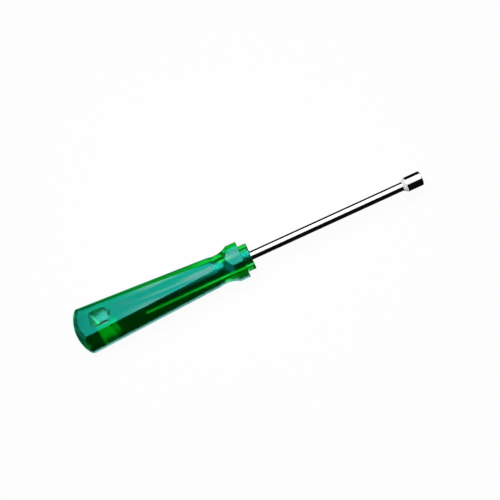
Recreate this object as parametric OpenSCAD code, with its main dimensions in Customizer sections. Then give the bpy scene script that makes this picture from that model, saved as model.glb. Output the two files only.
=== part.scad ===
// Nut driver for small hexagon nuts.
// A clear moulded handle with two grip flats and a hanging hole holds a round steel
// shaft, which is pressed flat inside the handle and carries a hexagon socket in front.
// All lengths are in millimetres. The tool lies along X with its socket towards +X.

/* [Handle] */
// Length of the handle, from the domed end to the front of the nose
handle_length = 128; // [118:1:140]
// Diameter of the grip's taper line at the rear end
grip_rear_diameter = 33; // [30:0.5:36]
// Diameter of the grip's taper line at the middle of the neck
grip_front_diameter = 21.2; // [20:0.1:23]
// Radius of the domed rear end
crown_radius = 27; // [22:0.5:32]
// Rounding between the domed end and the grip
crown_edge_radius = 2.5; // [1:0.1:3.5]
// Distance between the two grip flats, measured at the rear end
flats_rear_width = 26.1; // [24:0.1:28]
// Height of the flats over the bottom of the neck, where they run out
flats_runout = 0.05; // [0.05:0.05:0.4]
// Rounding between the flats and the domed end
flats_end_radius = 3.5; // [2:0.1:5]
// Radius of the flats' curved rear edge, seen from above
flats_end_curve = 16.5; // [15:0.5:20]

/* [Neck, collar and nose] */
// Depth of the neck below the grip's taper line
neck_depth = 0.35; // [0.2:0.05:1]
// Radius of the neck's hollow curve
neck_radius = 18.4; // [15:0.2:25]
// Diameter of the collar in front of the neck
collar_diameter = 25.8; // [24:0.1:28]
// Length of the collar's straight rim
collar_length = 7.3; // [5:0.1:9]
// Distance between the two flats on the collar
collar_flats_width = 22.8; // [21:0.1:23.5]
// Rounding of the collar's front edge
collar_edge_radius = 0.5; // [0.2:0.1:1]
// Diameter of the nose
nose_diameter = 18.4; // [15:0.1:20]
// Length of the nose
nose_length = 5.9; // [4:0.1:9]
// Rounding of the nose's front edge
nose_edge_radius = 0.7; // [0.2:0.1:1.5]

/* [Hanging hole] */
// Distance from the rear end to the hole, at its narrowest
hole_setback = 14.6; // [12:0.1:18]
// Clear length of the hole along the handle
hole_length = 12.8; // [10:0.1:15]
// Clear width of the hole across the handle
hole_width = 9.2; // [7:0.1:11]
// Length of the hole's pointed end
hole_point_length = 3.8; // [3:0.1:5]
// Rounding of the two rear corners
hole_corner_radius = 1.9; // [1:0.1:2.5]
// Rounding of the point and of its two shoulders
hole_point_radius = 0.4; // [0.2:0.1:0.8]
// Slope of the hole's walls, widening from the middle to both mouths
hole_draft = 5; // [2:0.5:8]

/* [Shaft] */
// Diameter of the shaft
shaft_diameter = 6; // [5:0.1:7]
// Length of shaft and socket in front of the handle
blade_length = 125; // [75:5:175]
// Length of the shaft that is held in the handle
tang_length = 79; // [60:1:90]
// Length of the pressed blade next to the tang's end
rear_wing_length = 10.5; // [8:0.5:14]
// Length of the pressed blade in front of it, turned by a right angle
front_wing_length = 15; // [10:0.5:18]
// Width of the pressed blades
wing_width = 9; // [8:0.1:10]
// Thickness of the pressed blades
wing_thickness = 3.1; // [2.5:0.1:4]
// Length of the slopes at the ends of each pressed blade
wing_slope_length = 1.6; // [1:0.1:2.5]
// Bevel on the tang's end
tang_bevel = 0.6; // [0.2:0.1:1]
// Gap between the tang and the plastic around it
tang_clearance = 0.03; // [0.02:0.01:0.1]

/* [Socket] */
// Nut size across its flats
nut_size = 7; // [5.5:0.5:7]
// Room between the nut and the socket, across the flats
nut_clearance = 0.1; // [0.05:0.01:0.2]
// Outside diameter of the socket
socket_diameter = 10; // [9.6:0.1:12]
// Length of the socket with its shoulder
socket_length = 13.6; // [13:0.1:18]
// Length of the conical shoulder
shoulder_length = 2.5; // [1.5:0.1:3.5]
// Height of the shoulder's rear rim over the shaft
shoulder_lip = 0.35; // [0.2:0.05:0.6]
// Depth of the hexagon
hex_depth = 9; // [7:0.1:9.5]
// Thickness of the floor between the hexagon and the shaft's seat
socket_floor = 1; // [0.8:0.1:1.5]
// Bevel on the socket's outer front edge
socket_bevel = 0.4; // [0.2:0.05:0.5]
// Lead-in bevel of the hexagon, over its corners
hex_lead_in = 0.2; // [0.1:0.05:0.3]
// Gap between the shaft and its seat in the socket
seat_clearance = 0.02; // [0.01:0.01:0.05]

/* [Hidden] */
$fn = 128;

// How far cutting solids reach past what they cut
reach = 5;

// Stations along the axis, counted from the rear end
collar_front = handle_length - nose_length;
collar_rear = collar_front - collar_length;
overall_length = handle_length + blade_length;
tang_end = handle_length - tang_length;
front_wing_start = tang_end + rear_wing_length;
front_wing_end = front_wing_start + front_wing_length;
hex_floor = overall_length - hex_depth;
seat_end = hex_floor - socket_floor;
socket_rear = overall_length - socket_length;
shoulder_front = socket_rear + shoulder_length;

// Radii of the turned forms
grip_rear_r = grip_rear_diameter / 2;
grip_front_r = grip_front_diameter / 2;
neck_r = grip_front_r - neck_depth;
collar_r = collar_diameter / 2;
nose_r = nose_diameter / 2;
shaft_r = shaft_diameter / 2;
wing_r = wing_width / 2;
socket_r = socket_diameter / 2;
shoulder_rear_r = shaft_r + shoulder_lip;

// The neck's curve reaches the collar's full radius at the collar's rear edge
neck_rise = collar_r - neck_r;
neck_half_length = sqrt(neck_radius ^ 2 - (neck_radius - neck_rise) ^ 2);
neck_middle = collar_rear - neck_half_length;
grip_slope = (grip_rear_r - grip_front_r) / neck_middle;
function grip_radius(x) = grip_rear_r - grip_slope * x;

// The flats slope from the rear end down to the bottom of the neck
flat_rear_h = flats_rear_width / 2;
flat_front_h = neck_r + flats_runout;
flat_slope = (flat_rear_h - flat_front_h) / neck_middle;
function flat_height(x) = flat_rear_h - flat_slope * x;

// Edge rounding of the crown: a circle that touches the dome and the grip's line inside
edge_stretch = sqrt(1 + grip_slope ^ 2);
edge_line_r = grip_rear_r - crown_edge_radius * edge_stretch;
edge_path_r = crown_radius - crown_edge_radius;
edge_b = crown_radius + grip_slope * edge_line_r;
edge_c = crown_radius ^ 2 + edge_line_r ^ 2 - edge_path_r ^ 2;
edge_x = (edge_b - sqrt(edge_b ^ 2 - edge_stretch ^ 2 * edge_c)) / edge_stretch ^ 2;
edge_centre = [edge_line_r - grip_slope * edge_x, edge_x];
crown_centre = [0, crown_radius];
edge_on_crown = crown_centre + (edge_centre - crown_centre) * crown_radius / edge_path_r;
edge_on_grip = edge_centre + [1, grip_slope] * crown_edge_radius / edge_stretch;
// The edge's arc runs between those two points, a little flatter than the touching circle
edge_ease = 0.08;
edge_middle = (edge_on_crown + edge_on_grip) / 2;
edge_arc_centre = edge_centre + edge_ease * (edge_centre - edge_middle);

// Rounding of the flats' rear ends, in a frame that stands on the crown's centre and leans
// with the flat: across is the distance towards the rear, up is the distance from that centre
flat_angle = atan(flat_slope);
end_height = flat_height(crown_radius) * cos(flat_angle) - flats_end_radius;
end_path_r = crown_radius - flats_end_radius;
end_centre = [sqrt(end_path_r ^ 2 - end_height ^ 2), end_height];
end_on_flat = end_centre + [0, flats_end_radius];
// The arc's other end lies a little under the dome, so that the two surfaces cross
end_sink = 0.05;
end_outwards = end_centre / end_path_r;
end_on_crown = end_outwards * (crown_radius - end_sink);
end_ease = 0.15;
end_arc_centre = end_centre + end_ease * (end_centre - (end_on_flat + end_on_crown) / 2);
// From there a cone leaves the dome at a small angle
end_leave = 4;
end_tail = [end_outwards[1], -end_outwards[0]] * cos(end_leave) + end_outwards * sin(end_leave);

// The tool lies on the rear edge of its lower flat
axis_height = end_on_flat[0] * sin(flat_angle) + end_on_flat[1] * cos(flat_angle);

// Hexagon across its corners
hex_corners = (nut_size + nut_clearance) / cos(30);

// Puts a piece that lies along X from the tool's rear end into the part's own frame
module placed() {
    translate([-overall_length / 2, 0, axis_height]) children();
}

// Turns an outline about the tool's axis: across is the radius, up is the station
module turned() {
    rotate([0, 90, 0]) rotate_extrude() children();
}

// Outline of a turned step whose front edge is rounded
module step_outline(radius, from, to, edge) {
    translate([0, from]) square([radius, to - from - edge]);
    translate([0, from]) square([radius - edge, to - from]);
    translate([radius - edge, to - edge]) circle(edge);
}

// Outline of the grip: a taper line with the dome at its rear end
module grip_outline() {
    difference() {
        intersection() {
            polygon([[0, 0], [grip_rear_r, 0], [grip_radius(collar_rear), collar_rear], [0, collar_rear]]);
            union() {
                translate(crown_centre) circle(crown_radius);
                translate(crown_centre) square([crown_radius, collar_rear - crown_radius]);
            }
        }
        difference() {
            polygon([edge_on_crown, edge_on_crown + edge_on_grip - edge_centre, edge_on_grip]);
            translate(edge_arc_centre) circle(norm(edge_on_crown - edge_arc_centre));
        }
    }
}

// Outline of the whole handle with its neck
module handle_outline() {
    difference() {
        union() {
            grip_outline();
            step_outline(collar_r, neck_middle, collar_front, collar_edge_radius);
        }
        translate([neck_r + neck_radius, neck_middle]) circle(neck_radius);
    }
    step_outline(nose_r, neck_middle, handle_length, nose_edge_radius);
}

// What is cut away over one side: the sloping grip flat and the collar's flat
module flat_cutter() {
    top = grip_rear_r + reach;
    width = 2 * top;
    rotate([90, 0, 0]) linear_extrude(width, center = true) {
        polygon([
            [-reach, flat_height(-reach)],
            [neck_middle, flat_front_h],
            [neck_middle, top],
            [-reach, top]
        ]);
        translate([neck_middle, collar_flats_width / 2])
            square([handle_length - neck_middle + reach, top]);
    }
}

// What rounds the rear end of one flat towards the dome: half a ring about the flat's curved edge
module flat_end_cutter() {
    shift = [flats_end_curve - end_on_flat[0], 0];
    start = end_on_flat + shift;
    finish = end_on_crown + shift;
    tail = finish + end_tail * grip_rear_r / 2;
    outside = flats_end_curve + grip_rear_r;
    top = grip_rear_r + reach;
    translate([crown_radius, 0, 0]) rotate([0, flat_angle, 0]) translate([shift[0], 0, 0])
        intersection() {
            rotate_extrude() difference() {
                polygon([start, [start[0], top], [outside, top], [outside, tail[1]], tail, finish]);
                translate(end_arc_centre + shift) circle(norm(end_on_flat - end_arc_centre));
            }
            translate([-outside - reach, -outside - reach, 0])
                cube([outside + reach, 2 * (outside + reach), top + reach]);
        }
}

// One drafted corner of the hanging hole, from below the middle up past the mouth
module hole_corner(x, y, radius) {
    top = grip_rear_r;
    bottom = -min(radius, hole_point_radius);
    spread = tan(hole_draft);
    translate([x, y, bottom])
        cylinder(h = top - bottom, r1 = radius + bottom * spread, r2 = radius + top * spread, $fn = 32);
}

// Upper half of the hanging hole: square at the rear, pointed in front
module hole_half() {
    hole_front = hole_setback + hole_length;
    rear_y = hole_width / 2 - hole_corner_radius;
    shoulder_y = hole_width / 2 - hole_point_radius;
    hull() {
        for (side = [-1, 1]) {
            hole_corner(hole_setback + hole_corner_radius, side * rear_y, hole_corner_radius);
            hole_corner(hole_front - hole_point_length, side * shoulder_y, hole_point_radius);
        }
        hole_corner(hole_front - hole_point_radius, 0, hole_point_radius);
    }
}

// What the press takes off both sides of a blade, between two stations
module press_cutter(from, to, grow) {
    half = wing_thickness / 2 + grow;
    rise = wing_r + grow;
    slope = wing_slope_length;
    for (side = [0, 1]) {
        mirror([0, 0, side]) rotate([90, 0, 0]) linear_extrude(4 * wing_r, center = true)
            polygon([
                [from, half],
                [to - slope, half],
                [to, shaft_r + grow],
                [to, rise],
                [from, rise]
            ]);
    }
}

// Round bar of the shaft from the tang's end to a station, swollen where it is pressed
module bar_outline(to, grow) {
    wing_x = tang_end + tang_bevel;
    polygon([
        [0, tang_end - grow],
        [wing_r - tang_bevel + grow, tang_end - grow],
        [wing_r + grow, wing_x - grow],
        [wing_r + grow, front_wing_end - wing_slope_length],
        [shaft_r + grow, front_wing_end],
        [shaft_r + grow, to],
        [0, to]
    ]);
}

// The shaft with its two crossed pressed blades, or the room for it
module shaft_form(to, grow = 0) {
    difference() {
        turned() bar_outline(to, grow);
        rotate([90, 0, 0]) press_cutter(tang_end - reach, front_wing_start + grow, grow);
        press_cutter(front_wing_start - grow, front_wing_end, grow);
    }
}

// Outline of the socket: conical shoulder, straight body and bevelled front edge
module socket_outline() {
    polygon([
        [0, socket_rear],
        [shoulder_rear_r, socket_rear],
        [socket_r, shoulder_front],
        [socket_r, overall_length - socket_bevel],
        [socket_r - socket_bevel, overall_length],
        [0, overall_length]
    ]);
}

module handle() {
    color([0.02, 0.5, 0.2, 0.8]) placed() difference() {
        turned() handle_outline();
        for (side = [0, 1]) {
            mirror([0, 0, side]) {
                flat_cutter();
                flat_end_cutter();
                hole_half();
            }
        }
        shaft_form(handle_length + reach, tang_clearance);
    }
}

module shaft() {
    color("gainsboro") placed() shaft_form(seat_end);
}

module socket() {
    lead_in_r = hex_corners / 2 + hex_lead_in;
    lead_in_length = hex_lead_in + (hex_corners - nut_size) / 2;
    color("silver") placed() difference() {
        turned() socket_outline();
        translate([hex_floor, 0, 0]) rotate([0, 90, 0])
            cylinder(h = hex_depth + reach, d = hex_corners, $fn = 6);
        translate([overall_length - lead_in_length, 0, 0]) rotate([0, 90, 0])
            cylinder(h = lead_in_length, r1 = lead_in_r - lead_in_length, r2 = lead_in_r);
        translate([socket_rear - reach, 0, 0]) rotate([0, 90, 0])
            cylinder(h = seat_end - socket_rear + reach, r = shaft_r + seat_clearance);
    }
}

handle();
shaft();
socket();
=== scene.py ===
"""Nut driver with a clear green handle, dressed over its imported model.

The handle, the shaft and the socket are modelled again as smooth meshes in the place of the
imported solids, and get clear plastic and bright plating. Lengths are in metres. A station is a
distance along the tool's axis, counted from the domed rear end of the handle.
"""

import logging
import math
from collections.abc import Callable, Iterable
from dataclasses import dataclass, field
from enum import Enum
from typing import Any

import bmesh
import bpy
from mathutils import Matrix, Vector


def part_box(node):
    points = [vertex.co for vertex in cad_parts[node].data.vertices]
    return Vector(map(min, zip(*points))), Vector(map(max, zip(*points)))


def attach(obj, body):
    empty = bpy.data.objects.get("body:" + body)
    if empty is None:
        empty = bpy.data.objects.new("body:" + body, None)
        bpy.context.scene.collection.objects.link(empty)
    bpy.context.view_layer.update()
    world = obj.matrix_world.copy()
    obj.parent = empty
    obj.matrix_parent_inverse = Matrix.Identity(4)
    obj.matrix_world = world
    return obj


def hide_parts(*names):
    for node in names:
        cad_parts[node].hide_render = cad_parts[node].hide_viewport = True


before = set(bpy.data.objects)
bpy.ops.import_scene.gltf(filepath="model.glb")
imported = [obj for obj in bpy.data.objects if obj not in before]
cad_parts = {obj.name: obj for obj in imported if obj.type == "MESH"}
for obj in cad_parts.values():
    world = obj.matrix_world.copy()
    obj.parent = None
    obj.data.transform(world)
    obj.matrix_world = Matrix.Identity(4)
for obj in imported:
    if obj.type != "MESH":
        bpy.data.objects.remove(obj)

logging.basicConfig(level=logging.INFO, format="%(name)s: %(message)s")
log = logging.getLogger("nut_driver")

MM = 0.001
BODY = "root"
WELD_DISTANCE = 0.0005 * MM
FULL_TURN = 2 * math.pi
QUARTER_TURN = math.pi / 2
SHARP_ANGLE = math.radians(24.0)
SATIN_MARK = "satin"
PARALLEL = 0.99999

Colour = tuple[float, float, float, float]
Glow = tuple[float, float, float]
Span = tuple[float, float]


class Side(Enum):
    """The two sides of the handle that carry a flat."""

    UPPER = 1
    LOWER = -1


@dataclass(frozen=True)
class Axis:
    """The tool's axis in the part's frame.

    Attributes:
        rear: X of the handle's domed end.
        height: Z of the axis.
    """

    rear: float
    height: float

    def point(self, station: float, up: float = 0.0, across: float = 0.0) -> Vector:
        """Gives a point by its station and its offsets from the axis.

        Args:
            station: Distance from the rear end.
            up: Offset along Z.
            across: Offset along Y.

        Returns:
            The point in the part's frame.
        """
        return Vector((self.rear + station, across, self.height + up))

    def station_of(self, point: Vector) -> float:
        """Gives the station of a point in the part's frame."""
        return point.x - self.rear


def read_axis() -> Axis:
    """Reads the tool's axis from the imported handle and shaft."""
    low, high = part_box("shaft")
    return Axis(rear=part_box("handle")[0].x, height=(low.z + high.z) / 2)


class Pen:
    """Draws the outline of a turned form as one chain of edges."""

    def __init__(self, axis: Axis, station: float, radius: float) -> None:
        """Starts the chain.

        Args:
            axis: The tool's axis.
            station: Where the chain starts along the axis.
            radius: Where it starts from the axis.
        """
        self.axis = axis
        self.mesh = bmesh.new()
        self.tip = self.mesh.verts.new(axis.point(station, radius))

    def line(self, station: float, radius: float, parts: int = 1) -> "Pen":
        """Draws a straight stretch.

        Args:
            station: Where it ends along the axis.
            radius: Where it ends from the axis.
            parts: How many edges it has.

        Returns:
            The pen itself, so that strokes can be chained.
        """
        start = self.tip.co.copy()
        end = self.axis.point(station, radius)
        for part in range(1, parts + 1):
            made = bmesh.ops.extrude_vert_indiv(self.mesh, verts=[self.tip])
            self.tip = made["verts"][0]
            self.tip.co = start.lerp(end, part / parts)
        return self

    def arc(self, station: float, radius: float, angle: float, steps: int) -> "Pen":
        """Draws a round stretch about a centre.

        Args:
            station: Station of the centre.
            radius: Distance of the centre from the axis.
            angle: Turn in radians, positive from the rear over the top to the front.
            steps: How many edges it has.

        Returns:
            The pen itself.
        """
        made = bmesh.ops.spin(
            self.mesh,
            geom=[self.tip],
            cent=self.axis.point(station, radius),
            axis=(0, 1, 0),
            angle=angle,
            steps=steps,
            use_merge=False,
        )
        self.tip = next(item for item in made["geom_last"] if isinstance(item, bmesh.types.BMVert))
        return self

    def turn(self, steps: int) -> bmesh.types.BMesh:
        """Turns the chain about the tool's axis into a closed form.

        Args:
            steps: How many faces it has round the axis.

        Returns:
            The mesh, with its seam and poles closed and its faces outwards.
        """
        bmesh.ops.spin(
            self.mesh,
            geom=self.mesh.verts[:] + self.mesh.edges[:],
            cent=self.axis.point(0.0),
            axis=(1, 0, 0),
            angle=FULL_TURN,
            steps=steps,
            use_merge=True,
        )
        bmesh.ops.remove_doubles(self.mesh, verts=self.mesh.verts[:], dist=WELD_DISTANCE)
        bmesh.ops.recalc_face_normals(self.mesh, faces=self.mesh.faces[:])
        return self.mesh


def make_object(name: str, mesh: bmesh.types.BMesh) -> bpy.types.Object:
    """Turns a bmesh into an object of the scene and frees it.

    Args:
        name: Name of the object and of its mesh.
        mesh: The bmesh that is used up.

    Returns:
        The object.
    """
    data = bpy.data.meshes.new(name)
    mesh.to_mesh(data)
    mesh.free()
    made = bpy.data.objects.new(name, data)
    bpy.context.scene.collection.objects.link(made)
    return made


def cut_away(target: bpy.types.Object, tool: bmesh.types.BMesh) -> None:
    """Cuts a tool out of an object and keeps the result as the object's mesh.

    Args:
        target: The object that changes.
        tool: The closed mesh that is used up.
    """
    helper = make_object("tool", tool)
    modifier = target.modifiers.new("cut_away", "BOOLEAN")
    modifier.operation = "DIFFERENCE"
    modifier.solver = "EXACT"
    modifier.object = helper
    graph = bpy.context.evaluated_depsgraph_get()
    result = bpy.data.meshes.new_from_object(target.evaluated_get(graph))
    target.modifiers.remove(modifier)
    result.name = target.name
    target.data = result
    bpy.data.objects.remove(helper)


def reshape(target: bpy.types.Object, change: Callable[[bmesh.types.BMesh], None]) -> None:
    """Runs a bmesh change on an object's own mesh.

    Args:
        target: The object that changes.
        change: The change.
    """
    mesh = bmesh.new()
    mesh.from_mesh(target.data)
    change(mesh)
    mesh.to_mesh(target.data)
    mesh.free()


def round_edges(
    mesh: bmesh.types.BMesh, edges: list[bmesh.types.BMEdge], width: float, segments: int
) -> None:
    """Rounds edges of a mesh.

    Args:
        mesh: The mesh.
        edges: The edges that are rounded.
        width: How far the rounding reaches on both sides.
        segments: How many faces it has.
    """
    bmesh.ops.bevel(
        mesh,
        geom=edges,
        offset=width,
        offset_type="OFFSET",
        segments=segments,
        profile=0.5,
        affect="EDGES",
        material=-1,
        clamp_overlap=True,
    )


def smooth_shading(target: bpy.types.Object) -> None:
    """Shades an object smooth, with hard edges kept and large faces ruling the normals.

    Args:
        target: The object.
    """
    target.data.shade_smooth()
    target.data.set_sharp_from_angle(angle=SHARP_ANGLE)
    weighted = target.modifiers.new("even_normals", "WEIGHTED_NORMAL")
    weighted.mode = "FACE_AREA"
    weighted.keep_sharp = True


def cut_flat(
    mesh: bmesh.types.BMesh,
    point: Vector,
    normal: Vector,
    belongs: Callable[[Vector], bool],
) -> bmesh.types.BMFace:
    """Slices one flat off a part of a turned form and closes it.

    Args:
        mesh: The form.
        point: A point of the flat.
        normal: The flat's outward normal.
        belongs: Says whether a face with that centre is in the part that is cut.

    Returns:
        The flat's face.
    """
    faces = [face for face in mesh.faces if belongs(face.calc_center_median())]
    edges = {edge for face in faces for edge in face.edges}
    corners = {corner for face in faces for corner in face.verts}
    sliced = bmesh.ops.bisect_plane(
        mesh,
        geom=[*corners, *edges, *faces],
        dist=WELD_DISTANCE,
        plane_co=point,
        plane_no=normal,
        clear_outer=True,
    )
    rim = [item for item in sliced["geom_cut"] if isinstance(item, bmesh.types.BMEdge)]
    return bmesh.ops.edgeloop_fill(mesh, edges=rim)["faces"][0]


@dataclass
class NodePen:
    """Adds shader nodes to a tree and joins them.

    Attributes:
        tree: The node tree that is written.
    """

    tree: bpy.types.NodeTree

    def add(self, kind: str, **values: Any) -> bpy.types.Node:
        """Adds a node.

        Args:
            kind: The node's type, without its ShaderNode prefix.
            **values: Properties of the node by name, or sockets by their title with _ for a space.

        Returns:
            The node.
        """
        node = self.tree.nodes.new("ShaderNode" + kind)
        sockets = {socket.name.replace(" ", "_"): socket for socket in reversed(node.inputs)}
        for name, value in values.items():
            if isinstance(value, bpy.types.NodeSocket):
                self.tree.links.new(value, sockets[name])
            elif name in sockets:
                sockets[name].default_value = value
            else:
                setattr(node, name, value)
        return node

    def math(self, operation: str, first: Any, second: Any) -> bpy.types.NodeSocket:
        """Adds a math node.

        Args:
            operation: What it works out.
            first: The first number or socket.
            second: The second one.

        Returns:
            The result.
        """
        node = self.add("Math", operation=operation)
        for socket, value in zip(node.inputs, (first, second)):
            if isinstance(value, bpy.types.NodeSocket):
                self.tree.links.new(value, socket)
            else:
                socket.default_value = value
        return node.outputs[0]

    def drawn_noise(
        self, place: bpy.types.NodeSocket, scale: Span, detail: float
    ) -> bpy.types.NodeSocket:
        """Adds noise that is drawn out along or across the tool's axis.

        Args:
            place: The coordinates that it follows.
            scale: How fine it is per metre, along and across the axis.
            detail: How many finer layers it has.

        Returns:
            The noise, from 0 to 1.
        """
        along, across = scale
        drawn = self.add("Mapping", Vector=place, Scale=(along, across, across))
        noise = self.add("TexNoise", Vector=drawn.outputs[0], Scale=1.0, Detail=detail)
        return noise.outputs["Fac"]

    def spread(self, value: bpy.types.NodeSocket, to: Span) -> bpy.types.NodeSocket:
        """Spreads a value from 0 to 1 over a range."""
        return self.add("MapRange", Value=value, To_Min=to[0], To_Max=to[1]).outputs[0]

    def ramp(self, value: bpy.types.NodeSocket, over: Span, top: float = 1.0) -> bpy.types.NodeSocket:
        """Makes a ramp from 0 to a top value, where the given value passes over a range."""
        node = self.add("MapRange", Value=value, From_Min=over[0], From_Max=over[1], To_Max=top)
        return node.outputs[0]

    def join(self, output: bpy.types.NodeSocket, target: bpy.types.NodeSocket) -> None:
        """Links an output to an input."""
        self.tree.links.new(output, target)


def new_material(name: str) -> tuple[bpy.types.Material, NodePen, bpy.types.Node]:
    """Makes an empty node material.

    Args:
        name: The material's name.

    Returns:
        The material, a pen for its nodes and its output node.
    """
    material = bpy.data.materials.new(name)
    material.use_nodes = True
    material.node_tree.nodes.clear()
    pen = NodePen(material.node_tree)
    return material, pen, pen.add("OutputMaterial")


@dataclass(frozen=True)
class ClearPlastic:
    """Polished clear plastic with a green tint that deepens with its thickness.

    Attributes:
        tint: Colour that every crossing of the surface gives to the light.
        depth_colour: Colour that the depth of the plastic lets through.
        depth_density: How strongly the depth colours the light, per metre.
        gloss_tint: Colour of the surface's mirror image seen square on.
        gloss_level: Strength of that mirror image.
        refraction: Refractive index.
        roughness: Lowest and highest roughness of the polish.
        satin_roughness: Lowest and highest roughness of the satin flats.
        haze_scale: Fineness of the clouds in the polish, per metre.
        haze_detail: How many finer layers those clouds have.
        streak_scale: Streaks of the satin flats per metre, along and across the handle.
        streak_detail: How many finer layers the streaks have.
        streak_share: The noise at which a streak starts and is at full strength.
        streak_weight: Strength of the pale streaks on the flats.
        streak_reach: Where along the handle the streaks set in, and where they are at full strength.
        streak_tint: What the streaks let through of the colour beneath them.
        streak_roughness: Roughness of those streaks.
        ripple_scale: Ripples of the moulded surface per metre, along and across the handle.
        ripple_height: Height of those ripples.
    """

    tint: Colour = (0.86, 1.0, 0.92, 1.0)
    depth_colour: Colour = (0.0, 0.86, 0.37, 1.0)
    depth_density: float = 350.0
    gloss_tint: Colour = (0.05, 2.95, 2.35, 1.0)
    gloss_level: float = 1.0
    refraction: float = 1.48
    roughness: Span = (0.17, 0.22)
    satin_roughness: Span = (0.3, 0.38)
    haze_scale: float = 220.0
    haze_detail: float = 5.0
    streak_scale: Span = (22.0, 330.0)
    streak_detail: float = 4.0
    streak_share: Span = (0.5, 0.6)
    streak_weight: float = 0.75
    streak_reach: Span = (-97.0 * MM, -62.0 * MM)
    streak_tint: Colour = (1.0, 0.72, 0.85, 1.0)
    streak_roughness: float = 0.15
    ripple_scale: Span = (25.0, 160.0)
    ripple_height: float = 0.01 * MM

    def streaks(
        self, pen: NodePen, place: bpy.types.NodeSocket, flats: bpy.types.NodeSocket
    ) -> bpy.types.NodeSocket:
        """Adds the pale streaks on the front part of the flats.

        Args:
            pen: The pen of the material's nodes.
            place: The coordinates on the handle.
            flats: 1 on the flats and 0 elsewhere.

        Returns:
            The strength of the streaks.
        """
        noise = pen.drawn_noise(place, self.streak_scale, self.streak_detail)
        on_flats = pen.math("MULTIPLY", pen.ramp(noise, self.streak_share), flats)
        station = pen.add("SeparateXYZ", Vector=place).outputs["X"]
        strength = pen.ramp(station, self.streak_reach, self.streak_weight)
        return pen.math("MULTIPLY", on_flats, strength)

    def material(self) -> bpy.types.Material:
        """Makes the node material.

        Returns:
            The material, with its surface and its depth.
        """
        made, pen, output = new_material("clear_green_plastic")
        place = pen.add("TexCoord").outputs["Object"]
        ripple = pen.drawn_noise(place, self.ripple_scale, 0.0)
        bump = pen.add("Bump", Height=ripple, Distance=self.ripple_height)
        haze = pen.add("TexNoise", Vector=place, Scale=self.haze_scale, Detail=self.haze_detail)
        polish = pen.spread(haze.outputs["Fac"], self.roughness)
        satin = pen.spread(haze.outputs["Fac"], self.satin_roughness)
        flats = pen.add("Attribute", attribute_name=SATIN_MARK).outputs["Fac"]
        surface = pen.add(
            "BsdfPrincipled",
            Base_Color=self.tint,
            Roughness=pen.add("Mix", Factor=flats, A=polish, B=satin).outputs[0],
            IOR=self.refraction,
            Transmission_Weight=1.0,
            Specular_IOR_Level=self.gloss_level,
            Specular_Tint=self.gloss_tint,
            Coat_Weight=self.streaks(pen, place, flats),
            Coat_Roughness=self.streak_roughness,
            Coat_Tint=self.streak_tint,
            Normal=bump.outputs[0],
        )
        depth = pen.add("VolumeAbsorption", Color=self.depth_colour, Density=self.depth_density)
        pen.join(surface.outputs[0], output.inputs["Surface"])
        pen.join(depth.outputs[0], output.inputs["Volume"])
        return made


@dataclass(frozen=True)
class BrightPlating:
    """Mirror-bright plating on steel, with faint polishing lines and handling marks.

    Attributes:
        name: Name of the material.
        colour: Colour of the metal.
        roughness: Lowest and highest roughness.
        line_scale: Polishing lines per metre, along and across the axis.
        line_height: Depth of those lines.
        metallic: How metallic it looks; a blasted surface looks like pale matte paint.
        line_detail: How many finer layers the lines have.
        mark_scale: Fineness of the handling marks, per metre.
        mark_detail: How many finer layers those marks have.
    """

    name: str
    colour: Colour
    roughness: Span
    line_scale: Span = (2400.0, 40.0)
    line_height: float = 0.0004 * MM
    metallic: float = 1.0
    line_detail: float = 2.0
    mark_scale: float = 90.0
    mark_detail: float = 6.0

    def material(self) -> bpy.types.Material:
        """Makes the node material.

        Returns:
            The material.
        """
        made, pen, output = new_material(self.name)
        place = pen.add("TexCoord").outputs["Object"]
        lines = pen.drawn_noise(place, self.line_scale, self.line_detail)
        marks = pen.add("TexNoise", Vector=place, Scale=self.mark_scale, Detail=self.mark_detail)
        bump = pen.add("Bump", Height=lines, Distance=self.line_height)
        surface = pen.add(
            "BsdfPrincipled",
            Base_Color=self.colour,
            Metallic=self.metallic,
            Roughness=pen.spread(marks.outputs["Fac"], self.roughness),
            Normal=bump.outputs[0],
        )
        pen.join(surface.outputs[0], output.inputs["Surface"])
        return made


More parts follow.
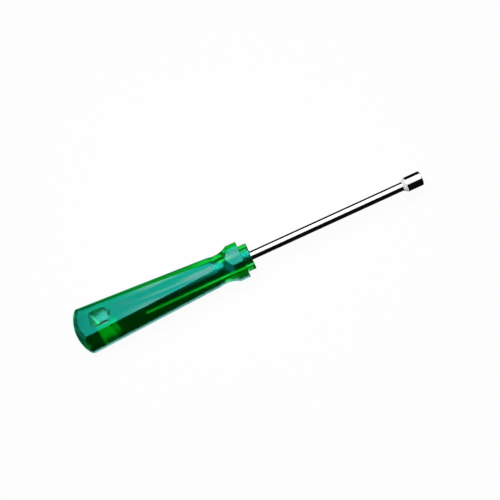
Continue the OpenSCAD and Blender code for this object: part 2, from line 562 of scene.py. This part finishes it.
@dataclass
class Handle:
    """The moulded handle: a turned form with two flats, a hanging hole, a collar and a nose."""

    axis: Axis
    length: float = 128.0 * MM
    grip_rear_radius: float = 16.485 * MM
    grip_front_radius: float = 10.6 * MM
    crown_radius: float = 27.0 * MM
    crown_edge_radius: float = 2.5 * MM
    flat_rear_height: float = 13.047 * MM
    flat_front_height: float = 10.297 * MM
    flat_end_radius: float = 3.5 * MM
    flat_end_curve: float = 16.5 * MM
    flat_end_gap: float = 0.002 * MM
    flat_end_leave: float = math.radians(86.0)
    flat_tolerance: float = 0.05 * MM
    neck_bottom_radius: float = 10.25 * MM
    neck_curve_radius: float = 18.4 * MM
    collar_radius: float = 12.9 * MM
    collar_length: float = 7.3 * MM
    collar_flat_height: float = 11.4 * MM
    collar_edge_radius: float = 0.5 * MM
    nose_radius: float = 9.2 * MM
    nose_length: float = 5.9 * MM
    nose_edge_radius: float = 0.7 * MM
    hole_setback: float = 14.6 * MM
    hole_length: float = 12.8 * MM
    hole_width: float = 9.2 * MM
    hole_point_length: float = 3.8 * MM
    hole_corner_radius: float = 1.9 * MM
    hole_point_radius: float = 0.4 * MM
    hole_draft: float = math.radians(5.0)
    film_radius: float = 4.6 * MM
    film_thickness: float = 0.06 * MM
    film_rear: float = 49.0 * MM
    film_setback: float = 1.0 * MM
    flat_rim: float = 0.5 * MM
    hole_rim: float = 0.5 * MM
    hole_rim_tolerance: float = 0.02 * MM
    hole_margin: float = 2.0 * MM
    hole_corner_steps: int = 48
    round_steps: int = 192
    finish: ClearPlastic = field(default_factory=ClearPlastic)

    @property
    def collar_front(self) -> float:
        """Station of the collar's front face."""
        return self.length - self.nose_length

    @property
    def collar_rear(self) -> float:
        """Station where the neck's curve meets the collar."""
        return self.collar_front - self.collar_length

    @property
    def neck_middle(self) -> float:
        """Station of the neck's thinnest place."""
        rise = self.collar_radius - self.neck_bottom_radius
        curve = self.neck_curve_radius
        return self.collar_rear - math.sqrt(curve**2 - (curve - rise) ** 2)

    @property
    def grip_slope(self) -> float:
        """How fast the grip's radius falls towards the neck."""
        return (self.grip_rear_radius - self.grip_front_radius) / self.neck_middle

    @property
    def flat_slope(self) -> float:
        """How fast the flats come in towards the neck."""
        return (self.flat_rear_height - self.flat_front_height) / self.neck_middle

    def flat_height(self, station: float) -> float:
        """Gives the distance of a grip flat from the axis at a station."""
        return self.flat_rear_height - self.flat_slope * station

    def crown_edge_centre(self) -> Vector:
        """Finds the circle that rounds the crown's edge, touching the dome and the grip's line.

        Returns:
            The circle's centre, as station and radius.
        """
        slope = self.grip_slope
        stretch = math.sqrt(1 + slope**2)
        line = self.grip_rear_radius - self.crown_edge_radius * stretch
        path = self.crown_radius - self.crown_edge_radius
        half = self.crown_radius + slope * line
        rest = self.crown_radius**2 + line**2 - path**2
        station = (half - math.sqrt(half**2 - stretch**2 * rest)) / stretch**2
        return Vector((station, line - slope * station))

    def neck_start(self) -> Vector:
        """Finds the place where the grip's line runs into the neck's curve.

        Returns:
            The place, as station and radius.
        """
        direction = Vector((1.0, -self.grip_slope)).normalized()
        start = Vector((0.0, self.grip_rear_radius))
        centre = Vector((self.neck_middle, self.neck_bottom_radius + self.neck_curve_radius))
        along = (centre - start).dot(direction)
        foot = start + direction * along
        half_chord = math.sqrt(self.neck_curve_radius**2 - (centre - foot).length_squared)
        return foot - direction * half_chord

    def turned_form(self) -> bmesh.types.BMesh:
        """Turns the handle's outline without flats and hole.

        Returns:
            The closed form.
        """
        edge = self.crown_edge_centre()
        crown_angle = math.atan2(edge.y, self.crown_radius - edge.x)
        edge_angle = QUARTER_TURN + math.atan(self.grip_slope) - crown_angle
        neck = self.neck_start()
        neck_centre = self.neck_bottom_radius + self.neck_curve_radius
        neck_in = math.asin((self.neck_middle - neck.x) / self.neck_curve_radius)
        neck_out = math.asin((self.collar_rear - self.neck_middle) / self.neck_curve_radius)
        collar_edge = self.collar_edge_radius
        nose_edge = self.nose_edge_radius
        pen = Pen(self.axis, 0.0, 0.0)
        pen.arc(self.crown_radius, 0.0, crown_angle, steps=28)
        pen.arc(edge.x, edge.y, edge_angle, steps=8)
        pen.line(neck.x, neck.y, parts=30)
        pen.arc(self.neck_middle, neck_centre, -(neck_in + neck_out), steps=18)
        pen.line(self.collar_front - collar_edge, self.collar_radius, parts=3)
        pen.arc(self.collar_front - collar_edge, self.collar_radius - collar_edge, QUARTER_TURN, steps=5)
        pen.line(self.collar_front, self.nose_radius, parts=2)
        pen.line(self.length - nose_edge, self.nose_radius, parts=4)
        pen.arc(self.length - nose_edge, self.nose_radius - nose_edge, QUARTER_TURN, steps=6)
        pen.line(self.length, 0.0, parts=3)
        return pen.turn(self.round_steps)

    def cut_flats(self, mesh: bmesh.types.BMesh) -> None:
        """Cuts the grip flats and the collar's flats, and rounds their rims a little.

        Args:
            mesh: The turned form.
        """
        middle = self.neck_middle
        rims: list[bmesh.types.BMEdge] = []
        for side in Side:
            grip = cut_flat(
                mesh,
                self.axis.point(0.0, side.value * self.flat_rear_height),
                Vector((self.flat_slope, 0.0, side.value)),
                lambda centre: self.axis.station_of(centre) < middle,
            )
            collar = cut_flat(
                mesh,
                self.axis.point(middle, side.value * self.collar_flat_height),
                Vector((0.0, 0.0, side.value)),
                lambda centre: self.axis.station_of(centre) > middle,
            )
            rims += [*grip.edges, *collar.edges]
        round_edges(mesh, rims, self.flat_rim, segments=2)

    def flat_end_tool(self, side: Side) -> bmesh.types.BMesh:
        """Makes the half ring that rounds the rear end of one flat over to the dome.

        Args:
            side: The flat that it rounds.

        Returns:
            The closed ring, drawn in the handle's middle plane and spun about an axis that leans
            with the flat.
        """
        lean = math.atan(self.flat_slope)
        radius = self.flat_end_radius
        height = self.flat_height(self.crown_radius) * math.cos(lean) - radius
        path = self.crown_radius - radius
        back = math.sqrt(path**2 - height**2)
        roll_over = math.acos(height / path)
        leave = roll_over + self.flat_end_leave
        rise = Vector((math.sin(lean), math.cos(lean)))
        rearwards = Vector((-rise.y, rise.x))
        crown = Vector((self.crown_radius, 0.0))
        centre = crown + rearwards * back + rise * (height + self.flat_end_gap)
        flat_edge = centre + rise * radius
        dome_edge = centre + (rise * math.cos(roll_over) + rearwards * math.sin(roll_over)) * radius
        tail = dome_edge + (rise * math.cos(leave) + rearwards * math.sin(leave)) * 2 * radius
        far = tail + rearwards * self.crown_radius
        pen = Pen(self.axis, flat_edge.x, flat_edge.y)
        pen.arc(centre.x, centre.y, -roll_over, steps=14)
        pen.line(tail.x, tail.y)
        pen.line(far.x, far.y)
        pen.line(*(far + rise * 4 * radius))
        pen.line(*(flat_edge + rise * 2 * radius))
        pen.line(flat_edge.x, flat_edge.y)
        mesh = pen.mesh
        hub = flat_edge - rearwards * self.flat_end_curve
        cent = self.axis.point(hub.x, hub.y)
        upright = Vector((rise.x, 0.0, rise.y))
        quarter = Matrix.Rotation(-QUARTER_TURN, 3, upright)
        bmesh.ops.rotate(mesh, verts=mesh.verts[:], cent=cent, matrix=quarter)
        bmesh.ops.remove_doubles(mesh, verts=mesh.verts[:], dist=WELD_DISTANCE)
        bmesh.ops.spin(
            mesh,
            geom=mesh.verts[:] + mesh.edges[:],
            cent=cent,
            axis=upright,
            angle=math.pi,
            steps=self.round_steps // 2,
            use_merge=False,
        )
        bmesh.ops.holes_fill(mesh, edges=mesh.edges[:], sides=0)
        if side is Side.LOWER:
            middle = Matrix.Translation(self.axis.point(0.0))
            over = middle @ Matrix.Scale(-1.0, 4, Vector((0, 0, 1))) @ middle.inverted()
            bmesh.ops.transform(mesh, matrix=over, verts=mesh.verts[:])
        bmesh.ops.recalc_face_normals(mesh, faces=mesh.faces[:])
        return mesh

    def hole_half(self, side: Side) -> bmesh.types.BMesh:
        """Makes one half of the hanging hole as a solid, drafted from the middle to past the flat.

        Args:
            side: The flat that it opens in.

        Returns:
            The closed solid.
        """
        front = self.hole_setback + self.hole_length
        rear_y = self.hole_width / 2 - self.hole_corner_radius
        shoulder_y = self.hole_width / 2 - self.hole_point_radius
        corners = [(front - self.hole_point_radius, 0.0, self.hole_point_radius)]
        for across in (-1, 1):
            rear = self.hole_setback + self.hole_corner_radius
            corners.append((rear, across * rear_y, self.hole_corner_radius))
            shoulder = front - self.hole_point_length
            corners.append((shoulder, across * shoulder_y, self.hole_point_radius))
        top = self.grip_rear_radius
        overlap = self.hole_point_radius
        spread = math.tan(self.hole_draft)
        mesh = bmesh.new()
        for station, across, radius in corners:
            middle = self.axis.point(station, side.value * (top - overlap) / 2, across)
            turned = Matrix.Translation(middle) @ Matrix.Scale(side.value, 4, Vector((0, 0, 1)))
            bmesh.ops.create_cone(
                mesh,
                cap_ends=True,
                segments=self.hole_corner_steps,
                radius1=radius - overlap * spread,
                radius2=radius + top * spread,
                depth=top + overlap,
                matrix=turned,
            )
        hull = bmesh.ops.convex_hull(mesh, input=mesh.verts[:])
        kept = set(hull["geom"])
        bmesh.ops.delete(mesh, geom=[f for f in mesh.faces if f not in kept], context="FACES")
        loose = [corner for corner in mesh.verts if not corner.link_faces]
        bmesh.ops.delete(mesh, geom=loose, context="VERTS")
        bmesh.ops.recalc_face_normals(mesh, faces=mesh.faces[:])
        return mesh

    def air_film(self) -> bmesh.types.BMesh:
        """Makes the thin layer of air that is left in the plastic round the shaft.

        Returns:
            The layer as a closed ring.
        """
        front = self.length - self.film_setback
        inner = self.film_radius - self.film_thickness
        pen = Pen(self.axis, self.film_rear, inner)
        pen.line(self.film_rear, self.film_radius)
        pen.line(front, self.film_radius, parts=8)
        pen.line(front, inner)
        pen.line(self.film_rear, inner, parts=8)
        return pen.turn(self.round_steps // 2)

    def round_hole_rims(self, mesh: bmesh.types.BMesh) -> None:
        """Rounds the two mouths of the hanging hole.

        Args:
            mesh: The handle's mesh, with the hole cut.
        """
        rear = self.hole_setback - self.hole_margin
        front = self.hole_setback + self.hole_length + self.hole_margin
        rims = []
        for edge in mesh.edges:
            if len(edge.link_faces) != 2:
                continue
            middle = (edge.verts[0].co + edge.verts[1].co) / 2
            station = self.axis.station_of(middle)
            up = abs(middle.z - self.axis.height)
            near_hole = rear < station < front and abs(middle.y) < self.hole_width
            on_flat = abs(up - self.flat_height(station)) < self.hole_rim_tolerance
            upright = [abs(face.normal.z) < 0.5 for face in edge.link_faces]
            if near_hole and on_flat and upright[0] != upright[1]:
                rims.append(edge)
        round_edges(mesh, rims, self.hole_rim, segments=3)

    def mark_flats(self, made: bpy.types.Object) -> None:
        """Marks the faces of the flats, which have a satin polish.

        Args:
            made: The handle.
        """
        mark = made.data.attributes.new(SATIN_MARK, "FLOAT", "FACE")
        grip_normal = Vector((self.flat_slope, 0.0, 1.0)).normalized()
        near = self.flat_tolerance
        for face in made.data.polygons:
            normal = Vector((face.normal.x, face.normal.y, abs(face.normal.z)))
            grip_height = self.flat_height(self.axis.station_of(face.center))
            up = abs(face.center.z - self.axis.height)
            on_grip = normal.dot(grip_normal) > PARALLEL and abs(up - grip_height) < near
            on_collar = normal.z > PARALLEL and abs(up - self.collar_flat_height) < near
            mark.data[face.index].value = float(on_grip or on_collar)

    def build(self) -> bpy.types.Object:
        """Builds the handle and gives it its plastic.

        Returns:
            The handle.
        """
        mesh = self.turned_form()
        self.cut_flats(mesh)
        made = make_object("clear_handle", mesh)
        for side in Side:
            cut_away(made, self.flat_end_tool(side))
            cut_away(made, self.hole_half(side))
        cut_away(made, self.air_film())
        reshape(made, self.round_hole_rims)
        made.data.materials.clear()
        made.data.materials.append(self.finish.material())
        self.mark_flats(made)
        smooth_shading(made)
        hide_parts("handle")
        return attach(made, BODY)


@dataclass
class Shaft:
    """The round shaft with its two crossed pressed blades inside the handle."""

    axis: Axis
    front: float = 243.0 * MM
    rear: float = 49.0 * MM
    radius: float = 3.0 * MM
    rear_wing_length: float = 10.5 * MM
    front_wing_length: float = 15.0 * MM
    wing_width: float = 9.0 * MM
    wing_thickness: float = 3.1 * MM
    wing_slope_length: float = 1.6 * MM
    end_bevel: float = 0.6 * MM
    round_steps: int = 96
    handle_front: float = 128.0 * MM
    finish: BrightPlating = BrightPlating("bright_shaft", (0.82, 0.82, 0.83, 1.0), (0.03, 0.08))
    tang_finish: BrightPlating = BrightPlating(
        "dull_tang", (0.25, 0.25, 0.25, 1.0), (0.55, 0.65), (300.0, 300.0), 0.002 * MM
    )

    def press_tool(self, start: float, end: float, turn: float) -> bmesh.types.BMesh:
        """Makes the two blocks that press a blade flat.

        Args:
            start: Station where the blocks start.
            end: Station where the blade's slope has run out.
            turn: Turn about the tool's axis in radians.

        Returns:
            The two blocks as one mesh.
        """
        mesh = bmesh.new()
        inner = self.wing_thickness / 2
        outer = self.wing_width
        half_way = (start + end) / 2
        half_up = (inner + outer) / 2
        widening = (outer - inner) / (self.radius - inner)
        for side in Side:
            middle = self.axis.point(half_way, side.value * half_up)
            size = Matrix.Diagonal((end - start, 2 * self.wing_width, outer - inner, 1.0))
            block = bmesh.ops.create_cube(mesh, size=1.0, matrix=Matrix.Translation(middle) @ size)
            for corner in block["verts"]:
                if self.axis.station_of(corner.co) < half_way:
                    continue
                if abs(corner.co.z - self.axis.height) < half_up:
                    corner.co.x -= self.wing_slope_length
                else:
                    corner.co.x += self.wing_slope_length * (widening - 1)
        around = Matrix.Rotation(turn, 4, "X")
        bmesh.ops.rotate(mesh, verts=mesh.verts[:], cent=self.axis.point(0.0), matrix=around)
        bmesh.ops.recalc_face_normals(mesh, faces=mesh.faces[:])
        return mesh

    def build(self) -> bpy.types.Object:
        """Builds the shaft and plates it.

        Returns:
            The shaft, bright in front of the handle and dull inside it.
        """
        wing = self.wing_width / 2
        middle = self.rear + self.rear_wing_length
        wing_end = middle + self.front_wing_length
        pen = Pen(self.axis, self.rear, 0.0)
        pen.line(self.rear, wing - self.end_bevel)
        pen.line(self.rear + self.end_bevel, wing)
        pen.line(wing_end - self.wing_slope_length, wing, parts=6)
        pen.line(wing_end, self.radius)
        pen.line(self.handle_front, self.radius, parts=8)
        pen.line(self.front, self.radius, parts=16)
        pen.line(self.front, 0.0)
        made = make_object("plated_shaft", pen.turn(self.round_steps))
        cut_away(made, self.press_tool(self.rear - wing, middle, QUARTER_TURN))
        cut_away(made, self.press_tool(middle, wing_end, 0.0))
        made.data.materials.clear()
        made.data.materials.append(self.finish.material())
        made.data.materials.append(self.tang_finish.material())
        for face in made.data.polygons:
            face.material_index = int(self.axis.station_of(face.center) < self.handle_front)
        smooth_shading(made)
        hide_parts("shaft")
        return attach(made, BODY)


@dataclass
class Socket:
    """The socket head with its conical shoulder and hexagon recess."""

    axis: Axis
    rear: float = 239.4 * MM
    front: float = 253.0 * MM
    radius: float = 5.0 * MM
    shoulder_length: float = 2.5 * MM
    shoulder_rear_radius: float = 3.35 * MM
    seat_radius: float = 3.02 * MM
    seat_end: float = 243.0 * MM
    front_bevel: float = 0.4 * MM
    hex_across_flats: float = 7.1 * MM
    hex_depth: float = 9.0 * MM
    hex_lead_in: float = 0.2 * MM
    shoulder_margin: float = 0.1 * MM
    round_steps: int = 128
    finish: BrightPlating = BrightPlating("bright_socket", (0.82, 0.82, 0.83, 1.0), (0.03, 0.09))
    shoulder_finish: BrightPlating = BrightPlating(
        "satin_shoulder", (0.85, 0.85, 0.85, 1.0), (0.5, 0.65), (300.0, 300.0), 0.004 * MM, 0.1
    )

    def hexagon(self) -> bmesh.types.BMesh:
        """Makes the hexagon recess as a solid that reaches out of the mouth.

        Returns:
            The closed solid.
        """
        corner = self.hex_across_flats / 2 / math.cos(math.pi / 6)
        depth = self.hex_depth + self.radius
        middle = self.axis.point(self.front + (self.radius - self.hex_depth) / 2)
        mesh = bmesh.new()
        bmesh.ops.create_cone(
            mesh,
            cap_ends=True,
            segments=6,
            radius1=corner,
            radius2=corner,
            depth=depth,
            matrix=Matrix.Translation(middle) @ Matrix.Rotation(QUARTER_TURN, 4, "Y"),
        )
        return mesh

    def lead_in(self) -> bmesh.types.BMesh:
        """Makes the bevel at the hexagon's mouth as a cone.

        Returns:
            The closed cone.
        """
        wide = self.hex_across_flats / 2 / math.cos(math.pi / 6) + self.hex_lead_in
        depth = 2 * wide
        mouth = self.axis.point(self.front)
        mesh = bmesh.new()
        bmesh.ops.create_cone(
            mesh,
            cap_ends=True,
            segments=self.round_steps,
            radius1=0.0,
            radius2=depth,
            depth=depth,
            matrix=Matrix.Translation(mouth) @ Matrix.Rotation(QUARTER_TURN, 4, "Y"),
        )
        return mesh

    def build(self) -> bpy.types.Object:
        """Builds the socket and plates it, with a satin shoulder.

        Returns:
            The socket.
        """
        shoulder = self.rear + self.shoulder_length
        pen = Pen(self.axis, self.seat_end, 0.0)
        pen.line(self.seat_end, self.seat_radius)
        pen.line(self.rear, self.seat_radius)
        pen.line(self.rear, self.shoulder_rear_radius)
        pen.line(shoulder, self.radius, parts=3)
        pen.line(self.front - self.front_bevel, self.radius, parts=4)
        pen.line(self.front, self.radius - self.front_bevel)
        pen.line(self.front, 0.0)
        made = make_object("plated_socket", pen.turn(self.round_steps))
        cut_away(made, self.hexagon())
        cut_away(made, self.lead_in())
        made.data.materials.clear()
        made.data.materials.append(self.finish.material())
        made.data.materials.append(self.shoulder_finish.material())
        for face in made.data.polygons:
            station = self.axis.station_of(face.center)
            outside = Vector((0.0, face.center.y, face.center.z - self.axis.height)).length
            on_outside = outside > self.seat_radius + self.shoulder_margin
            face.material_index = int(station < shoulder and on_outside)
        smooth_shading(made)
        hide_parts("socket")
        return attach(made, BODY)


class Facing(Enum):
    """The axis that a card faces along."""

    UP = "Z"
    ALONG = "X"
    ACROSS = "Y"


class Shown(Enum):
    """Where a card shows, as the kinds of ray that it is hidden from."""

    IN_MIRRORS = ("camera", "shadow", "diffuse", "transmission")
    THROUGH_PLASTIC = ("camera", "shadow", "diffuse", "glossy")


class Layer(Enum):
    """Heights of the cards that lie on each other between the tool and the floor."""

    LOW = -0.5 * MM
    MIDDLE = -0.4 * MM
    TOP = -0.3 * MM


def hide_from(made: bpy.types.Object, rays: Iterable[str]) -> None:
    """Hides a stage object from the named kinds of ray."""
    for ray in rays:
        setattr(made, "visible_" + ray, False)


def grey(level: float) -> Glow:
    """Gives the glow of a white or grey card."""
    return (level, level, level)


def glow_material(name: str, glow: Glow) -> bpy.types.Material:
    """Makes a plain glowing material for a card.

    Args:
        name: Name of the material.
        glow: Its colour and brightness.

    Returns:
        The material.
    """
    material, pen, output = new_material(name)
    shine = pen.add("Emission", Color=(*glow, 1.0), Strength=1.0)
    pen.join(shine.outputs[0], output.inputs["Surface"])
    return material


def level_sheet(name: str, low: Span, high: Span, height: float = 0.0) -> bpy.types.Object:
    """Makes a level rectangle of the stage.

    Args:
        name: Its name.
        low: Its lowest x and y.
        high: Its highest x and y.
        height: Its height.

    Returns:
        The rectangle.
    """
    mesh = bmesh.new()
    middle = Vector(((low[0] + high[0]) / 2, (low[1] + high[1]) / 2, height))
    size = Matrix.Diagonal((high[0] - low[0], high[1] - low[1], 1.0, 1.0))
    bmesh.ops.create_grid(
        mesh,
        x_segments=1,
        y_segments=1,
        size=0.5,
        matrix=Matrix.Translation(middle) @ size,
    )
    made = make_object(name, mesh)
    return made


@dataclass(frozen=True)
class Card:
    """A glowing card that the camera itself doesn't see.

    Attributes:
        name: Its name.
        low: Its lowest corner, drawn level before the card is turned.
        high: Its highest corner.
        place: Where it lies along the axis that it faces.
        glow: Its colour and brightness.
        facing: The axis that it faces along.
        shown: Where it shows.
    """

    name: str
    low: Span
    high: Span
    place: float
    glow: Glow
    facing: Facing = Facing.UP
    shown: Shown = Shown.IN_MIRRORS

    def pose(self) -> Matrix:
        """Gives the card's place and turn.

        Returns:
            The matrix that carries the level sheet there.
        """
        if self.facing is Facing.ALONG:
            return Matrix.Translation((self.place, 0.0, 0.0)) @ Matrix.Rotation(QUARTER_TURN, 4, "Y")
        if self.facing is Facing.ACROSS:
            return Matrix.Translation((0.0, self.place, 0.0)) @ Matrix.Rotation(QUARTER_TURN, 4, "X")
        return Matrix.Translation((0.0, 0.0, self.place))

    def build(self) -> None:
        """Sets up the card."""
        made = level_sheet(self.name, self.low, self.high)
        made.matrix_world = self.pose()
        made.data.materials.append(glow_material(self.name, self.glow))
        hide_from(made, self.shown.value)


DARK = grey(0.004)
GRIP_REAR = -128.0 * MM
GRIP_FRONT = -4.0 * MM
PANEL_HEIGHT = -100.0 * MM

FLOOR_CARDS = (
    # Black under everything, seen only in mirror images while the camera sees the white floor there: a
    # painted dark reflection under the tool.
    Card("dark_card", (-1.6, -1.6), (1.6, 1.6), Layer.LOW.value, DARK),
    # Brighter than white and pale cyan, seen only in mirror images: a painted pale reflection along the
    # handle's near lower edge.
    Card("near_card", (GRIP_REAR, -23.0 * MM), (GRIP_FRONT, 8.0 * MM), Layer.MIDDLE.value, (1.0, 1.6, 1.6)),
    # Dark teal, seen only in mirror images, where the camera sees white floor: a painted dark teal
    # reflection of the floor behind the grip.
    Card("back_card", (GRIP_REAR, 8.0 * MM), (GRIP_FRONT, 60.0 * MM), Layer.MIDDLE.value, (0.01, 0.3, 0.25)),
    # Dark green, seen only in mirror images, where the camera sees white floor: a painted dark green
    # reflection behind the domed end.
    Card("rear_card", (-0.4, -0.1), (GRIP_REAR, 0.1), Layer.MIDDLE.value, (0.0, 0.25, 0.15)),
    # Bright green, seen only in mirror images: a painted green reflection on the upper corner of the domed
    # end.
    Card("corner_card", (-165.0 * MM, 12.0 * MM), (GRIP_REAR, 70.0 * MM), Layer.TOP.value, (0.0, 1.2, 0.45)),
    # Pale teal and far brighter than white, seen only in mirror images: a painted pale reflection in the
    # hanging hole.
    Card("hole_card", (-119.0 * MM, -9.0 * MM), (-96.0 * MM, 3.5 * MM), Layer.TOP.value, (0.5, 2.7, 2.4)),
    Card("hole_shade", (-122.0 * MM, 3.5 * MM), (-92.0 * MM, 20.0 * MM), Layer.TOP.value, (0.0, 0.12, 0.06)),
)

MIRRORED_CARDS = (
    Card("scrim", (0.0, -0.36), (0.6, 0.66), 522.9 * MM, grey(1.15)),
    Card("side_wall", (-0.5, -0.4), (-0.02, 0.4), -0.29, grey(0.7), Facing.ALONG),
    Card("end_wall", (-0.5, -0.4), (-0.02, 0.4), 0.6, grey(1.0), Facing.ALONG),
)

PLASTIC_CARDS = (
    Card("nose_wall", (-0.012, -0.35), (0.3, 0.3), 0.6, grey(2.0), Facing.ACROSS, Shown.THROUGH_PLASTIC),
    Card("crown_wall", (-0.2, -0.3), (0.35, 0.5), -0.4, grey(1.15), Facing.ALONG, Shown.THROUGH_PLASTIC),
    Card("rear_panel", (-0.6, -0.1), (-0.05, -0.01), PANEL_HEIGHT, grey(1.15), shown=Shown.THROUGH_PLASTIC),
    Card("front_panel", (-0.05, -0.1), (0.6, -0.01), PANEL_HEIGHT, grey(2.0), shown=Shown.THROUGH_PLASTIC),
)


@dataclass
class Studio:
    """Floor, softbox, cards and camera."""

    axis: Axis
    floor_size: float = 8.0
    floor_drop: float = 1.0 * MM
    floor_colour: Colour = (0.9, 0.9, 0.9, 1.0)
    floor_glow: float = 0.95
    white: Colour = (1.0, 1.0, 1.0, 1.0)
    box_distance: float = 0.5
    box_tilt: float = math.radians(6.5)
    box_size: Span = (0.44, 0.44)
    box_radiance: float = 4.5
    ambient: float = 0.1
    tent_radius: float = 1.6
    tent_segments: int = 48
    cards: tuple[Card, ...] = FLOOR_CARDS + MIRRORED_CARDS + PLASTIC_CARDS
    look_tilt: float = math.radians(24.7)
    look_roll: float = math.radians(24.6)
    look_station: float = 129.0 * MM
    look_over: float = 3.7 * MM
    camera_distance: float = 734.0 * MM
    lens: float = 79.0
    sensor: float = 36.0

    def floor(self) -> None:
        """Lays the pale floor, white to the camera, with a faint shadow."""
        half = self.floor_size / 2
        made = level_sheet("floor", (-half, -half), (half, half), -self.floor_drop)
        material, pen, output = new_material("pale_floor")
        matte = pen.add("BsdfDiffuse", Color=self.floor_colour)
        glow = pen.add("Emission", Color=self.white, Strength=1.0)
        path = pen.add("LightPath")
        seen = pen.math("MAXIMUM", path.outputs["Is Camera Ray"], path.outputs["Is Glossy Ray"])
        share = pen.math("MULTIPLY", seen, self.floor_glow)
        mixed = pen.add("MixShader")
        pen.join(share, mixed.inputs[0])
        pen.join(matte.outputs[0], mixed.inputs[1])
        pen.join(glow.outputs[0], mixed.inputs[2])
        pen.join(mixed.outputs[0], output.inputs["Surface"])
        made.data.materials.append(material)
        hide_from(made, ("transmission",))

    def world(self) -> None:
        """Makes the world white to the camera and dim to the rest."""
        world = bpy.data.worlds.new("studio")
        world.use_nodes = True
        world.node_tree.nodes.clear()
        pen = NodePen(world.node_tree)
        seen = pen.add("LightPath").outputs["Is Camera Ray"]
        strength = pen.spread(seen, (self.ambient, 1.0))
        sky = pen.add("Background", Color=self.white, Strength=strength)
        pen.join(sky.outputs[0], pen.add("OutputWorld").inputs["Surface"])
        bpy.context.scene.world = world

    def tent(self) -> None:
        """Hangs a dark tent round everything, which only shows in mirror images."""
        mesh = bmesh.new()
        bmesh.ops.create_uvsphere(
            mesh,
            u_segments=self.tent_segments,
            v_segments=self.tent_segments // 2,
            radius=self.tent_radius,
        )
        made = make_object("dark_tent", mesh)
        made.data.materials.append(glow_material("dark_cloth", DARK))
        hide_from(made, Shown.IN_MIRRORS.value)

    def softbox(self) -> None:
        """Hangs the softbox over the tool, tilted towards the back."""
        data = bpy.data.lights.new("softbox", "AREA")
        data.shape = "RECTANGLE"
        data.size, data.size_y = self.box_size
        data.energy = self.box_radiance * math.pi * data.size * data.size_y
        lamp = bpy.data.objects.new("softbox", data)
        bpy.context.scene.collection.objects.link(lamp)
        direction = Vector((0.0, math.sin(self.box_tilt), math.cos(self.box_tilt)))
        place = Vector((0.0, 0.0, self.axis.height)) + direction * self.box_distance
        lamp.matrix_world = Matrix.Translation(place) @ Matrix.Rotation(-self.box_tilt, 4, "X")
        hide_from(lamp, ("camera", "transmission"))

    def camera(self) -> None:
        """Sets the camera at the photograph's angle, with the tool pointing up to the right."""
        data = bpy.data.cameras.new("camera")
        data.lens = self.lens
        data.sensor_width = self.sensor
        made = bpy.data.objects.new("camera", data)
        bpy.context.scene.collection.objects.link(made)
        back = Vector((0.0, -math.sin(self.look_tilt), math.cos(self.look_tilt)))
        over = Vector((0.0, math.cos(self.look_tilt), math.sin(self.look_tilt)))
        along = Vector((1.0, 0.0, 0.0))
        roll = self.look_roll
        right = along * math.cos(roll) - over * math.sin(roll)
        up = along * math.sin(roll) + over * math.cos(roll)
        place = self.axis.point(self.look_station) + over * self.look_over + back * self.camera_distance
        turned = Matrix((right, up, back)).transposed().to_4x4()
        made.matrix_world = Matrix.Translation(place) @ turned
        bpy.context.scene.camera = made

    def build(self) -> None:
        """Sets up the whole studio."""
        self.camera()
        self.floor()
        self.world()
        self.tent()
        for card in self.cards:
            card.build()
        self.softbox()
        bpy.context.scene.view_settings.view_transform = "Standard"


def main() -> None:
    """Builds the tool and its studio."""
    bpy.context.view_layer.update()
    axis = read_axis()
    for part in (Handle(axis), Shaft(axis), Socket(axis)):
        made = part.build()
        log.info("built %s with %d faces", made.name, len(made.data.polygons))
    Studio(axis).build()


if __name__ == "__main__":
    main()
